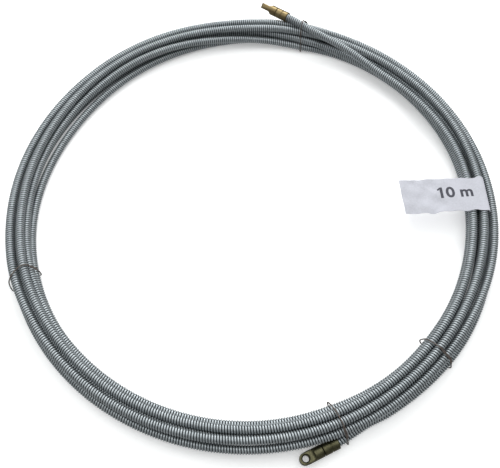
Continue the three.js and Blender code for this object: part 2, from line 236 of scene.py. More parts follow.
def settleTurns(keys, sizes):
    # The turns are wound by the keys, then pushed off each other and the floor until they lie clear.
    # At one angle every turn is a disc, and two discs nearer than the gap share what is missing.
    step, perTurn, turns = 3.0, 120, 8
    run = np.arange(0, turns * perTurn) * step
    live = (run <= keys[-3, 0]).reshape(turns, perTurn)
    target = hermite(keys[:, 0], keys[:, 1:], np.minimum(run, keys[-1, 0]))
    leadRun, tailRun = leadRoute[0][0] - leadRoute[-1][0], keys[-tailRows, 0]
    ease = np.clip((run - leadRun) / settling["leadEase"], 0, 1)
    ease = ease * np.clip((tailRun - run) / settling["tailEase"], 0, 1)
    free = ease * ease * (3 - 2 * ease)
    # the ties pass under the bundle and lift it by their own thickness
    angle = leadRoute[0][0] - run
    lift = np.zeros(len(run))
    for tie in tieAngles:
        off = (angle - tie + 180) % 360 - 180
        lift = np.maximum(lift, sizes["tieLift"] * bell(off, settling["tieSpread"]))
    lowest = sizes["diameter"] / 2 + lift
    place = target.copy()
    pairs = [(a, b) for a in range(turns) for b in range(a)]
    for round_ in range(settling["rounds"]):
        pull = settling["pull"][round_ >= settling["easedFrom"]]
        smoothing = settling["smoothing"][round_ >= settling["calmFrom"]]
        place += pull * free[:, None] * (target - place)
        bend = 0.5 * (np.roll(place, 1, 0) + np.roll(place, -1, 0)) - place
        bend[[0, -1]] = 0
        place += smoothing * free[:, None] * bend
        grid = place.reshape(turns, perTurn, 2)
        hold = free.reshape(turns, perTurn)
        for a, b in pairs:
            apart = grid[a] - grid[b]
            far = np.linalg.norm(apart, axis=1) + 1e-9
            both = live[a] & live[b]
            missing = np.where(both, np.maximum(0, sizes["gap"] - far), 0)
            share = hold[a] / np.maximum(hold[a] + hold[b], 1e-6)
            shift = apart / far[:, None] * missing[:, None]
            grid[a] += shift * (share * (hold[a] > 0))[:, None]
            grid[b] -= shift * ((1 - share) * (hold[b] > 0))[:, None]
        place = grid.reshape(-1, 2)
        low = (place[:, 1] < lowest) & (free > 0)
        place[low, 1] = lowest[low]
    return run, place


def springLine(sizes):
    keys = routeKeys(sizes)
    run, place = settleTurns(keys, sizes)
    loose = (run > keys[leadRows - 1, 0] + 1.5) & (run < keys[-tailRows, 0] - 1.5)
    turns = np.column_stack([run[loose], place[loose]])
    joined = np.concatenate([keys[:leadRows], turns, keys[-tailRows:]])
    fine = np.arange(joined[0, 0], joined[-1, 0], 0.25)
    fine = np.append(fine, joined[-1, 0])
    polar = hermite(joined[:, 0], joined[:, 1:], fine)
    line = around(leadRoute[0][0] - fine, polar[:, 0], polar[:, 1])
    return line + ringCentre


springCentreline = springLine(springSizes)


def coiledSpring(line, sizes):
    # crest and valley of a right-handed wire turn, at step t of n round each turn:
    # C(t) = P(t p / n) + r (cos(2 pi t / n) S + sin(2 pi t / n) N), and V(t) the same at
    # the valley radius, half a pitch further along. P is the centreline and p the pitch.
    n, pitch = sizes["steps"], sizes["wire"]
    centres = evenly(line, pitch / n)
    side, rise = lineFrames(centres)
    half = n // 2  # nearest whole step to half a pitch
    count = len(centres) - half - 1
    turn = 2 * np.pi * np.arange(count) / n
    mid = 0.5 * (centres[half : half + count] + centres[half + 1 : half + 1 + count])

    def ringPoint(at, radius, s, r):
        return at + radius * (np.cos(turn)[:, None] * s + np.sin(turn)[:, None] * r)

    crest = ringPoint(centres[:count], sizes["diameter"] / 2, side[:count], rise[:count])
    valley = ringPoint(mid, sizes["valley"], side[half : half + count], rise[half : half + count])
    t = np.arange(count - 1)
    near = np.stack([t, t + 1, count + t + 1, count + t], axis=1)
    t = np.arange(count - 1 - n)
    far = np.stack([count + t, count + t + 1, t + n + 1, t + n], axis=1)
    caps = [
        [1, 0, count, *range(n, 1, -1)],
        [*range(2 * count - 1 - n, 2 * count), count - 1],
    ]
    faces = near.tolist() + far.tolist() + caps
    piece = makeMesh("draw_in_spring", np.concatenate([crest, valley]), faces)
    mesh = piece.data

    # the grooves stay crisp, and each point knows how deep in a groove it is
    edges = np.zeros(2 * len(mesh.edges), np.int32)
    mesh.edges.foreach_get("vertices", edges)
    edges = edges.reshape(-1, 2)
    inGroove = (edges.min(1) >= count) & (np.abs(edges[:, 0] - edges[:, 1]) == 1)
    mesh.attributes.new("sharp_edge", "BOOLEAN", "EDGE").data.foreach_set("value", inGroove)
    # the groove depth later drives the spring's groove colour, which is partly painted shade
    depth = np.repeat([0.0, 1.0], count).astype(np.float32)
    mesh.attributes.new("groove", "FLOAT", "POINT").data.foreach_set("value", depth)
    unrollSpring(mesh, near, far, caps, count, n)
    return piece, centres[::n]


def unrollSpring(mesh, near, far, caps, count, n):
    # The cord's surface is cut into strips of equal length, laid side by side in columns:
    # u runs along the cord in wire turns, and v once round it.
    columns, rowsEach = 3, 20
    perStrip = math.ceil(count / n / (columns * rowsEach))
    corner = np.concatenate([near, far]).astype(float)
    base = np.concatenate([near[:, 0], far[:, 0] - count])
    isValley = corner >= count
    t = np.where(isValley, corner - count, corner)
    along = t / n + 0.5 * isValley
    round_ = (base % n)[:, None] + np.array([0, 1, 1, 0])[None, :]
    strip = (base // (n * perStrip))[:, None]
    u = (strip // rowsEach + (along - strip * perStrip + 1) / (perStrip + 4)) / columns
    v = (strip % rowsEach + 0.04 + 0.92 * round_ / n) / rowsEach
    uv = np.stack([u, v], axis=2).reshape(-1, 2)
    spare = []
    for i, cap in enumerate(caps):
        a = 2 * np.pi * np.arange(len(cap)) / len(cap)
        spot = np.array([1 - 0.004 - 0.012 * i, 1 - 0.5 / rowsEach])
        spare.append(spot + 0.004 * np.stack([np.cos(a), np.sin(a)], axis=1))
    uv = np.concatenate([uv, *spare])
    mesh.uv_layers.new(name="OFBake").data.foreach_set("uv", uv.astype(np.float32).ravel())


spring, springRings = coiledSpring(springCentreline, springSizes)
springLength = float(np.linalg.norm(np.diff(springRings, axis=0), axis=1).sum())
print("spring wound:", round(springLength, 3), "m,", len(spring.data.polygons), "faces")


# The end fittings. Places along a fitting are from where the cord enters it, as x; y is its side.
fittingSizes = {
    "radius": 0.0051,
    "socket": 0.0043,
    "neckBore": 0.0021,  # round the stud's neck and thread
    "webStart": 0.0114,
    "ferruleLength": 0.0136,
    "groove": 0.0066,
    "grooveWidth": 0.0012,
    "grooveDepth": 0.00035,
    "crimp": 0.00006,  # half of how deep each of the six dents is
    "crimpWidth": 0.0011,
    "headStart": 0.0139,
    "boreEnd": 0.0206,
    "flatStart": 0.0233,
    "tongue": 0.0029,  # half its thickness
    "eye": 0.0289,
    "tip": 0.0340,
    "eyeHole": 0.0026,
    "chamfer": 0.0010,
    "edge": 0.0004,
    "steps": 96,  # round the fitting
}
fittings = {
    "lead": {"entry": leadRoute[0], "heading": leadHeading, "roll": 48.0, "body": "lead_eye"},
    "tail": {"entry": tailRoute[-1], "heading": tailHeading, "roll": 0.0, "body": "tail_eye"},
}


def fittingFrame(fitting):
    # the fitting's three axes as rows and its origin; the roll turns side and up about the heading
    x = direction(fitting["heading"])
    side = np.cross([0, 0, 1], x)
    side /= np.linalg.norm(side)
    up = np.cross(x, side)
    turn = math.radians(fitting["roll"])
    c, s = math.cos(turn), math.sin(turn)
    axes = np.array([x, c * side + s * up, c * up - s * side])
    return axes, around(*fitting["entry"]) + ringCentre


def softCorners(profile, radius, steps=4):
    # each corner of a closed outline becomes (1-t)^2 a + 2t(1-t) p + t^2 b, a and b near it on its sides
    p = np.asarray(profile, float)
    before, after = np.roll(p, 1, 0) - p, np.roll(p, -1, 0) - p
    reach = [np.linalg.norm(d, axis=1)[:, None] for d in (before, after)]
    a = p + before / reach[0] * np.minimum(radius, 0.4 * reach[0])
    b = p + after / reach[1] * np.minimum(radius, 0.4 * reach[1])
    t = np.linspace(0, 1, steps)[None, :, None]
    arc = (1 - t) ** 2 * a[:, None] + 2 * t * (1 - t) * p[:, None] + t**2 * b[:, None]
    return arc.reshape(-1, 2)


def gridFaces(rows, columns, closeRows=False):
    # quads of a grid whose columns run round, and whose rows may too
    r = np.arange(rows if closeRows else rows - 1)[:, None]
    c = np.arange(columns)[None, :]
    r2, c2 = (r + 1) % rows, (c + 1) % columns
    quads = np.stack(np.broadcast_arrays(r * columns + c, r * columns + c2,
                                         r2 * columns + c2, r2 * columns + c), axis=-1)
    return quads.reshape(-1, 4).tolist()


def tubeFaces(rows, columns):
    # the grid's quads and a face over each end
    ends = [range(columns), range((rows - 1) * columns, rows * columns)]
    return gridFaces(rows, columns) + [list(end) for end in ends]


def facesOutward(piece):
    build = bmesh.new()
    build.from_mesh(piece.data)
    bmesh.ops.recalc_face_normals(build, faces=build.faces)
    build.to_mesh(piece.data)
    build.free()


def markAlong(piece, along):
    # how far along its fitting each point is, in metres, for the lathe's turning marks
    mesh = piece.data
    mesh.attributes.new("along", "FLOAT", "POINT").data.foreach_set("value", along.astype(np.float32))


def turnedFerrule(name, fitting, sizes):
    # lathe: p = x X + r (cos a Y + sin a Z) round a closed outline of (x, r), where the crimp
    # presses r in by a share of (1 + cos 6a) close to the groove
    radius, edge = sizes["radius"], sizes["edge"]
    socket, neck, web, length = (sizes[k] for k in ("socket", "neckBore", "webStart", "ferruleLength"))
    at, half = sizes["groove"], sizes["grooveWidth"] / 2
    outline = [
        (0, socket + 0.0002),
        (0, radius - edge),
        (edge, radius),
        (at - half, radius),
        (at - half / 2, radius - sizes["grooveDepth"]),
        (at + half / 2, radius - sizes["grooveDepth"]),
        (at + half, radius),
        (length - edge, radius),
        (length, radius - edge),
        (length, neck),
        (web, neck),
        (web, socket),
        (0.0005, socket),
    ]
    profile = softCorners(outline, 0.0002)
    n = sizes["steps"]
    a = (2 * np.pi * np.arange(n) / n)[None, :]
    x, r = profile[:, :1], profile[:, 1:]
    outside = (r > socket + 0.0003).astype(float)
    crimp = sizes["crimp"] * (1 + np.cos(6 * a)) * bell(x - at, sizes["crimpWidth"])
    r = r - outside * crimp
    axes, origin = fittingFrame(fitting)
    local = np.stack([x + 0 * a, r * np.cos(a), r * np.sin(a)], axis=-1).reshape(-1, 3)
    piece = makeMesh(name, local @ axes + origin, gridFaces(len(profile), n, True))
    markAlong(piece, local[:, 0])
    facesOutward(piece)
    piece.data.set_sharp_from_angle(angle=math.radians(50))
    return piece


def headOutline(x, a, sizes):
    # distance from the axis in direction a: the softened least of the bar's radius, the tongue's
    # flat / |sin a| and the rounded end's half width / |cos a|, where a hollow leads into the flat
    radius, flat = sizes["radius"], sizes["tongue"]
    mill = radius - flat
    into = np.clip(sizes["flatStart"] - x, 0, mill)
    tongue = radius - np.sqrt(np.maximum(mill**2 - into**2, 0))
    tongue = np.where(x < sizes["flatStart"] - mill, 10 * radius, tongue)
    past = np.clip(x - sizes["eye"], 0, radius)
    plan = np.sqrt(np.maximum(radius**2 - past**2, 1e-12)) + np.clip(sizes["eye"] - x, 0, 1) * 0.5
    edge = np.clip(x - sizes["headStart"], 0, sizes["edge"]) - sizes["edge"]
    bar = radius + edge
    sharp = 22
    reach = bar**-sharp
    reach = reach + (np.maximum(np.abs(np.sin(a)), 1e-4) / tongue) ** sharp
    reach = reach + (np.maximum(np.abs(np.cos(a)), 1e-4) / plan) ** sharp
    return reach ** (-1 / sharp)


def milledEyeHead(name, fitting, sizes):
    # p = x X + d(x, a) (cos a Y + sin a Z), with d from headOutline, and a screw bore at the back
    n = sizes["steps"]
    t = 2 * np.pi * np.arange(n) / n
    a = (t + 0.42 * np.sin(2 * t))[None, :]
    start, mill = sizes["headStart"], sizes["radius"] - sizes["tongue"]
    shoulder = sizes["flatStart"] - mill
    round_ = np.radians(np.linspace(4, 88, 22))
    x = np.concatenate([
        start + sizes["edge"] * np.array([0, 0.5, 1, 1.5]),
        np.linspace(start + 0.001, shoulder - 0.0002, 10),
        shoulder + mill * (1 - np.cos(np.linspace(0.0, np.pi / 2, 12))),
        np.linspace(sizes["flatStart"] + 0.0004, sizes["eye"], 10),
        sizes["eye"] + (sizes["tip"] - sizes["eye"]) * np.sin(round_),
    ])[:, None]
    outer = headOutline(x, a, sizes)
    outer[0] -= 0.0001
    bore = np.full((3, n), sizes["neckBore"])
    x = np.concatenate([[[sizes["boreEnd"]], [start + 0.0003], [start]], x])
    bore[2] += 0.0003
    reach = np.concatenate([bore, outer])
    local = np.stack([x + 0 * a, reach * np.cos(a), reach * np.sin(a)], axis=-1).reshape(-1, 3)
    axes, origin = fittingFrame(fitting)
    body = makeMesh(name, local @ axes + origin, tubeFaces(len(reach), n))
    markAlong(body, local[:, 0])
    facesOutward(body)

    # the eye: a countersunk cutter about the tongue's own up, at the middle of the round end
    hole, sink, half = sizes["eyeHole"], sizes["chamfer"], sizes["tongue"]
    z = np.array([-half - 2 * sink, -half + sink, half - sink, half + 2 * sink])[:, None]
    r = np.array([hole + 3 * sink, hole, hole, hole + 3 * sink])[:, None]
    t = t[None, :]
    local = np.stack([sizes["eye"] + r * np.cos(t), r * np.sin(t), z + 0 * t], axis=-1)
    cutter = makeMesh("eye_cutter", local.reshape(-1, 3) @ axes + origin, tubeFaces(4, n))
    facesOutward(cutter)
    cut = body.modifiers.new("eye", "BOOLEAN")
    cut.operation = "DIFFERENCE"
    cut.solver = "EXACT"
    cut.object = cutter
    return settleModifiers(body, cutter)


def settleModifiers(body, cutter):
    # the piece keeps what its modifiers make, and the cutter goes
    graph = bpy.context.evaluated_depsgraph_get()
    done = bpy.data.meshes.new_from_object(body.evaluated_get(graph))
    old = body.data
    body.modifiers.clear()
    body.data = done
    bpy.data.meshes.remove(old)
    bpy.data.objects.remove(cutter)
    done.name = body.name
    done.polygons.foreach_set("use_smooth", [True] * len(done.polygons))
    done.set_sharp_from_angle(angle=math.radians(32))
    return body


ferrules, eyeHeads = {}, {}
for end, fitting in fittings.items():
    ferrules[end] = turnedFerrule(f"{end}_crimped_ferrule", fitting, fittingSizes)
    eyeHeads[end] = milledEyeHead(f"{end}_pulling_eye", fitting, fittingSizes)
print("end fittings turned and milled")


# Wire ties. Each wire goes round the bundle once and on over its top again, beside its own start.
tieSizes = {
    "wire": 0.0011,
    "slack": 0.0003,  # between the wire and the strands
    "bow": (0.0006, 0.0016),  # how far it stands off at the bundle's outer and inner side
    "beside": 0.0013,  # between the doubled wires
    "hook": 0.0012,  # rise of each cut end, and how far it turns aside
    "sides": 10,
}
# for each tie: where the doubled part starts, as a share of the bundle's width, how long that part is,
# as a share of a turn, its slant across the bundle and how much it bends, per metre
tieShapes = [
    (0.80, 0.14, -0.06, -18.0),
    (0.04, 0.12, 0.36, 40.0),
    (0.62, 0.16, 0.14, 0.0),
    (0.45, 0.24, 0.05, 0.0),
]


def hull(points):
    # convex outline by the two chains of sorted points, anticlockwise
    ordered = sorted(map(tuple, points))

    def chain(row):
        kept = []
        for p in row:
            while len(kept) > 1:
                (ax, ay), (bx, by) = kept[-2:]
                if (bx - ax) * (p[1] - ay) - (by - ay) * (p[0] - ax) > 1e-12:
                    break
                kept.pop()
            kept.append(p)
        return kept[:-1]

    return np.array(chain(ordered) + chain(ordered[::-1]))


def strandsAt(angle):
    # distance from the axis and height of every strand that crosses the plane at this angle
    flat = springCentreline - ringCentre
    here = (np.degrees(np.arctan2(flat[:, 1], flat[:, 0])) - angle + 180) % 360 - 180
    near = (here[:-1] * here[1:] <= 0) & (np.abs(here[:-1]) < 5)
    return np.stack([np.hypot(flat[:-1, 0], flat[:-1, 1]), flat[:-1, 2]], axis=1)[near]


def tieWire(name, angle, shape, sizes):
    # the outline round the strands, r(s) and z(s), is walked outward over the top from a start,
    # and a bow exp(-d^4) stands it off at both sides; the shift along the bundle is
    # beside * (s - 1/2) + lean * across + bend * across^2, so the doubled part lies side by side
    startAt, overlap, lean, bend = shape
    strands = strandsAt(angle)
    reach = springSizes["diameter"] / 2 + sizes["wire"] / 2 + sizes["slack"]
    a = 2 * np.pi * np.arange(48) / 48
    ring = reach * np.stack([np.cos(a), np.sin(a)], axis=1)
    outline = hull((strands[:, None] + ring[None]).reshape(-1, 2))[::-1]  # outward over the top
    closed = np.vstack([outline, outline[:1]])
    even = evenly(np.column_stack([closed, np.zeros(len(closed))]), 0.0004)[:, :2]
    middle, half = even.mean(0), np.ptp(even, axis=0) / 2
    wanted = middle[0] + (2 * startAt - 1) * half[0]
    onTop = even[:, 1] > middle[1]
    first = np.argmin(np.where(onTop, np.abs(even[:, 0] - wanted), 1))
    count = len(even)
    walk = (first + np.arange(int(count * (1 + overlap)))) % count
    path = even[walk]
    s = np.linspace(0, 1, len(path))
    out = unit(path - middle)
    level = (path[:, 1] - middle[1] - 0.2 * half[1]) / (0.55 * half[1])
    across = (path[:, 0] - middle[0]) / half[0]
    bow = np.where(across > 0, *sizes["bow"]) * np.exp(-(level**4))
    bow = bow * np.clip(2 * np.abs(across) - 0.9, 0, 1)
    kernel = np.hanning(13) / np.hanning(13).sum()
    path = path + out * bow[:, None]
    padded = np.pad(path, ((6, 6), (0, 0)), mode="edge")
    path = np.stack([np.convolve(padded[:, k], kernel, "valid") for k in range(2)], axis=1)
    hookShape = np.exp(-s * 45) + np.exp(-(1 - s) * 45)
    path[:, 1] = np.maximum(path[:, 1], sizes["wire"] / 2 + 0.0001) + sizes["hook"] * hookShape
    across = path[:, 0] - middle[0]
    shift = sizes["beside"] * (2 * s - 1) / 2 / (1 - overlap / 2) + (lean + bend * across) * across
    shift += sizes["hook"] * (np.exp(-s * 60) - np.exp(-(1 - s) * 60))
    turn = math.radians(angle)
    outward = np.array([math.cos(turn), math.sin(turn), 0])
    alongBundle = np.array([-math.sin(turn), math.cos(turn), 0])
    line = ringCentre + path[:, :1] * outward + path[:, 1:] * np.array([0, 0, 1])
    line = line + shift[:, None] * alongBundle
    return sweptWire(name, line, sizes["wire"] / 2, sizes["sides"], alongBundle)


def sweptWire(name, line, radius, sides, reference):
    # p = c + r (cos a A + sin a B): A is the reference made square to the tangent, B = T x A
    t = unit(np.gradient(line, axis=0))
    a = unit(reference - (t @ reference)[:, None] * t)
    b = np.cross(t, a)
    turn = 2 * np.pi * np.arange(sides) / sides
    size = np.full(len(line), radius)
    size[[0, -1]] *= 0.6  # the cutters' pinch at each end
    ring = np.cos(turn)[None, :, None] * a[:, None] + np.sin(turn)[None, :, None] * b[:, None]
    points = line[:, None] + size[:, None, None] * ring
    piece = makeMesh(name, points.reshape(-1, 3), tubeFaces(len(line), sides))
    facesOutward(piece)
    return piece


ties = []
for i, (angle, shape) in enumerate(zip(tieAngles, tieShapes)):
    ties.append(tieWire(f"tie_{i + 1}_wire", angle, shape, tieSizes))
print("ties bent:", len(ties))


# The length flag, folded over the strand it hangs from. Places are from the coil's middle.
flagSizes = {
    "angle": -0.3,  # degrees round the coil
    "strandAbove": 0.0155,  # it hangs from a strand higher than this,
    "strandOut": 0.002,  # nearest this far outward of the bundle's middle
    "freeEnd": 0.1388,  # distance of the far edge from the coil's axis
    "slant": 0.0020,  # how much shorter the near edge is
    "width": 0.0345,
    "wrap": 105,  # degrees that it goes down round the strand
    "middle": 0.0019,  # place of its middle along the bundle
    "turn": 1.7,  # degrees about the vertical
    "sag": 0.0016,
    "paper": 0.0004,
    "steps": (96, 44),
    "crumple": 0.00042,
    # waves of the crumple: share of its height, radians a metre along and across, phase
    "waves": [(1, 172, 96, 0.6), (0.7, 331, -241, 2.1), (0.5, 95, 420, 4.0), (0.35, 640, 150, 1.3)],
    "dip": 0.0004,  # just short of the fold
    "belly": 0.0016,  # of the near long edge
    "flare": 0.0014,  # of the far long edge at the fold
}


def flagSurface(u, v, sizes):
    # u runs from the free end to the tucked edge and v across, both 0 to 1. Along u the sheet
    # lies flat over the strands, then turns down round the last one: x = e + r sin b and
    # z = c - r (1 - cos b), with b growing from 0 to the wrap's angle. Crumple is a sum of waves
    # that fade towards the fold, and the long edges get waves of their own.
    strand = flagStrand
    radius = springSizes["diameter"] / 2 + sizes["paper"]
    wrap = math.radians(sizes["wrap"])
    start = sizes["freeEnd"] + sizes["slant"] * (1 - v)
    flat = strand[0] - start
    length = flat + radius * wrap
    s = u * length
    b = np.clip((s - flat) / radius, 0, wrap)
    x = np.where(s < flat, start + s, strand[0] + radius * np.sin(b))
    z = strand[1] + radius * np.cos(b)
    loose = np.clip((strand[0] - 0.014 - x) / 0.03, 0, 1)
    free = np.clip((strand[0] - 0.012 - x) / 0.05, 0, 1)
    w = (v - 0.5) * sizes["width"]
    waves = sum(k * np.sin(x * a + w * c + phase) for k, a, c, phase in sizes["waves"])
    ridge = bell(w + 0.9 * (x - 0.172), 0.0035) - 0.7 * bell(w - 0.6 * (x - 0.196), 0.003)
    z = z + sizes["crumple"] * loose * (waves + 1.1 * ridge) - sizes["sag"] * free**2
    z = z - sizes["dip"] * bell(x - strand[0] + 0.0052, 0.0022)
    edge = 2 * v - 1
    ripple = 0.00035 * np.sin(x * 230 + 1.0) + 0.0003 * np.sin(x * 410 + 2.5)
    belly = sizes["belly"] * bell(x - 0.158, 0.018) * (edge < 0)
    y = w + np.sign(edge) * np.abs(edge) ** 3 * (ripple * np.where(edge > 0, 0.6, 1.4)) - belly * edge**2
    y = y + sizes["flare"] * bell(x - strand[0], 0.0045) * (edge > 0) * edge**3
    return np.stack([x, y, z], axis=-1)


def placeFlag(points, sizes):
    # turned about the vertical at the fold, and moved to its place along the bundle
    turn = math.radians(sizes["turn"])
    c, s = math.cos(turn), math.sin(turn)
    pivot = np.array([flagStrand[0], 0, 0])
    p = points - pivot
    q = np.stack([c * p[..., 0] - s * p[..., 1], s * p[..., 0] + c * p[..., 1], p[..., 2]], axis=-1)
    return q + pivot + np.array([0, sizes["middle"], 0]) + ringCentre


def closedSheet(name, grid, thickness):
    # the grid and a second one a thickness below it along the normals, joined round the rim
    du, dv = np.gradient(grid, axis=0), np.gradient(grid, axis=1)
    normal = unit(np.cross(du, dv))
    top, under = grid + 0.5 * thickness * normal, grid - 0.5 * thickness * normal
    rows, columns = grid.shape[:2]
    number = np.arange(rows * columns).reshape(rows, columns)
    quads = np.stack([number[:-1, :-1], number[1:, :-1], number[1:, 1:], number[:-1, 1:]], axis=-1)
    quads = quads.reshape(-1, 4)
    rim = np.concatenate([number[0, :-1], number[:-1, -1], number[-1, :0:-1], number[:0:-1, 0]])
    ahead = np.roll(rim, -1)
    below = rows * columns
    walls = np.stack([rim, ahead, ahead + below, rim + below], axis=1)
    faces = quads.tolist() + (quads[:, ::-1] + below).tolist() + walls.tolist()
    piece = makeMesh(name, np.concatenate([top.reshape(-1, 3), under.reshape(-1, 3)]), faces)
    facesOutward(piece)
    piece.data.set_sharp_from_angle(angle=math.radians(60))
    return piece


crossing = strandsAt(flagSizes["angle"])
overTop = crossing[crossing[:, 1] > flagSizes["strandAbove"]]
nearest = np.argmin(np.abs(overTop[:, 0] - springSizes["bundleRadius"] - flagSizes["strandOut"]))
flagStrand = np.array([overTop[nearest, 0], overTop[:, 1].max()])
rows, columns = flagSizes["steps"]
u, v = np.meshgrid(np.linspace(0, 1, rows), np.linspace(0, 1, columns), indexing="ij")
flagGrid = flagSurface(u, v, flagSizes)
flag = closedSheet("paper_flag", placeFlag(flagGrid, flagSizes), flagSizes["paper"])
print("flag folded over the strand at", np.round(flagStrand, 4))


# The length mark on the flag, in metres.
markSizes = {
    "text": "10 m",
    "height": 0.0152,  # of the type, so that its figures stand about 11 mm tall
    "bold": 0.00042,
    "wide": 1.08,
    "left": 0.1725,  # from the coil's axis
    "base": -0.0032,
    "lean": 2.0,  # degrees
    "ink": 0.00010,
    "facet": 0.0016,  # longest edge of its faces, to follow the flag
}


def addStroke(build, sizes):
    # the type's figure one is a bare stem: a slanting stroke at the left of its top makes it plain
    left = min(v.co.x for v in build.verts)
    stem = [v.co for v in build.verts if v.co.x < left + 0.2 * sizes["height"]]
    right, top = max(p.x for p in stem), max(p.y for p in stem)
    h = sizes["height"]
    outline = [
        (right - 0.02 * h, top),
        (left + 0.01 * h, top),
        (left - 0.15 * h, top - 0.13 * h),
        (left - 0.10 * h, top - 0.22 * h),
    ]
    half = 0.47 * sizes["ink"]
    corners = []
    for z in (-half, half):
        corners.append([build.verts.new((x, y, z)) for x, y in outline])
    low, high = corners
    build.faces.new(low)
    build.faces.new(high[::-1])
    for a in range(4):
        b = (a + 1) % 4
        build.faces.new((low[b], low[a], high[a], high[b]))


def printedMark(sizes):
    # flat type is cut into small faces, then each point is laid on the flag at its own x and y
    type_ = bpy.data.curves.new("length_mark", "FONT")
    type_.body = sizes["text"]
    type_.size = sizes["height"]
    type_.offset = sizes["bold"]
    type_.extrude = 0.5 * sizes["ink"]
    type_.resolution_u = 6
    letters = addObject("length_mark", type_)
    graph = bpy.context.evaluated_depsgraph_get()
    mesh = bpy.data.meshes.new_from_object(letters.evaluated_get(graph))
    bpy.data.objects.remove(letters)
    build = bmesh.new()
    build.from_mesh(mesh)
    addStroke(build, sizes)
    bmesh.ops.remove_doubles(build, verts=build.verts, dist=1e-7)
    bmesh.ops.triangulate(build, faces=build.faces)
    for _ in range(3):
        long_ = [e for e in build.edges if e.calc_length() > sizes["facet"]]
        bmesh.ops.subdivide_edges(build, edges=long_, cuts=1)
        bmesh.ops.triangulate(build, faces=build.faces)
    bmesh.ops.recalc_face_normals(build, faces=build.faces)
    build.to_mesh(mesh)
    build.free()
    flat = np.zeros(3 * len(mesh.vertices))
    mesh.vertices.foreach_get("co", flat)
    flat = flat.reshape(-1, 3)
    lean = math.radians(sizes["lean"])
    flat[:, 0] *= sizes["wide"]
    x = sizes["left"] + flat[:, 0] * math.cos(lean) - flat[:, 1] * math.sin(lean)
    y = sizes["base"] + flat[:, 0] * math.sin(lean) + flat[:, 1] * math.cos(lean)
    v = y / flagSizes["width"] + 0.5
    start = flagSizes["freeEnd"] + flagSizes["slant"] * (1 - v)
    radius = springSizes["diameter"] / 2 + flagSizes["paper"]
    length = flagStrand[0] - start + radius * math.radians(flagSizes["wrap"])
    on = flagSurface((x - start) / length, v, flagSizes)
    on[:, 2] += 0.5 * flagSizes["paper"] + 0.00002 + (flat[:, 2] + 0.5 * sizes["ink"])
    mesh.vertices.foreach_set("co", placeFlag(on, flagSizes).ravel())
    mesh.update()
    return addObject("length_mark", mesh)


mark = printedMark(markSizes)
print("length mark printed")


# Shader groups and materials.
def shaderGroup(name, inputs, outputs):
    # a node group with its named inputs, given as (name, socket kind, value), and outputs
    group = bpy.data.node_groups.new(name, "ShaderNodeTree")
    for label, kind, value in inputs:
        socket = group.interface.new_socket(label, in_out="INPUT", socket_type=kind)
        if value is not None:
            socket.default_value = value
    for label, kind in outputs:
        group.interface.new_socket(label, in_out="OUTPUT", socket_type=kind)
    return group, group.nodes.new("NodeGroupInput"), group.nodes.new("NodeGroupOutput")


def put(tree, kind, links=(), **values):
    # a node with its settings, and links from other sockets into its inputs
    node = tree.nodes.new(kind)
    for key, value in values.items():
        setattr(node, key, value)
    for label, source in links:
        if isinstance(source, bpy.types.NodeSocket):
            tree.links.new(source, node.inputs[label])
        else:
            node.inputs[label].default_value = source
    return node


def tarnishGroup():
    # cloudy colour change: two sizes of noise choose between a clean and a tarnished colour
    g, given, out = shaderGroup(
        "tarnish",
        [("Vector", "NodeSocketVector", None), ("Clean", "NodeSocketColor", (1, 1, 1, 1)),
         ("Tarnished", "NodeSocketColor", (0.5, 0.5, 0.5, 1)), ("Scale", "NodeSocketFloat", 60.0),
         ("Amount", "NodeSocketFloat", 0.5)],
        [("Color", "NodeSocketColor"), ("Mask", "NodeSocketFloat")],
    )
    big = put(g, "ShaderNodeTexNoise", [("Vector", given.outputs["Vector"]),
                                        ("Scale", given.outputs["Scale"]), ("Detail", 5.0)])
    fineScale = put(g, "ShaderNodeMath", [(0, given.outputs["Scale"]), (1, 9.0)], operation="MULTIPLY")
    fine = put(g, "ShaderNodeTexNoise", [("Vector", given.outputs["Vector"]),
                                         ("Scale", fineScale.outputs[0]), ("Detail", 3.0)])
    both = put(g, "ShaderNodeMath", [(0, big.outputs[0]), (1, fine.outputs[0])], operation="MULTIPLY")
    mask = put(g, "ShaderNodeMapRange", [("Value", both.outputs[0]), ("From Min", 0.16),
                                         ("From Max", 0.36), ("To Min", 0.0),
                                         ("To Max", given.outputs["Amount"])])
    mix = put(g, "ShaderNodeMix", [("Factor", mask.outputs[0]), (6, given.outputs["Clean"]),
                                   (7, given.outputs["Tarnished"])], data_type="RGBA")
    g.links.new(mix.outputs[2], out.inputs["Color"])
    g.links.new(mask.outputs[0], out.inputs["Mask"])
    return g


def grainGroup():
    # fine surface grain: a roughness that wanders between two values, and a height for bump
    g, given, out = shaderGroup(
        "surfaceGrain",
        [("Vector", "NodeSocketVector", None), ("Scale", "NodeSocketFloat", 900.0),
         ("Smooth", "NodeSocketFloat", 0.25), ("Rough", "NodeSocketFloat", 0.45)],
        [("Roughness", "NodeSocketFloat"), ("Height", "NodeSocketFloat")],
    )
    grain = put(g, "ShaderNodeTexNoise", [("Vector", given.outputs["Vector"]),
                                          ("Scale", given.outputs["Scale"]), ("Detail", 6.0)])
    wander = put(g, "ShaderNodeMapRange", [("Value", grain.outputs[0]), ("From Min", 0.3),
                                           ("From Max", 0.7), ("To Min", given.outputs["Smooth"]),
                                           ("To Max", given.outputs["Rough"])])
    g.links.new(wander.outputs[0], out.inputs["Roughness"])
    g.links.new(grain.outputs[0], out.inputs["Height"])
    return g


tarnish, surfaceGrain = tarnishGroup(), grainGroup()


def material(name):
    made = bpy.data.materials.new(name)
    made.use_nodes = True
    return made, made.node_tree, made.node_tree.nodes["Principled BSDF"]


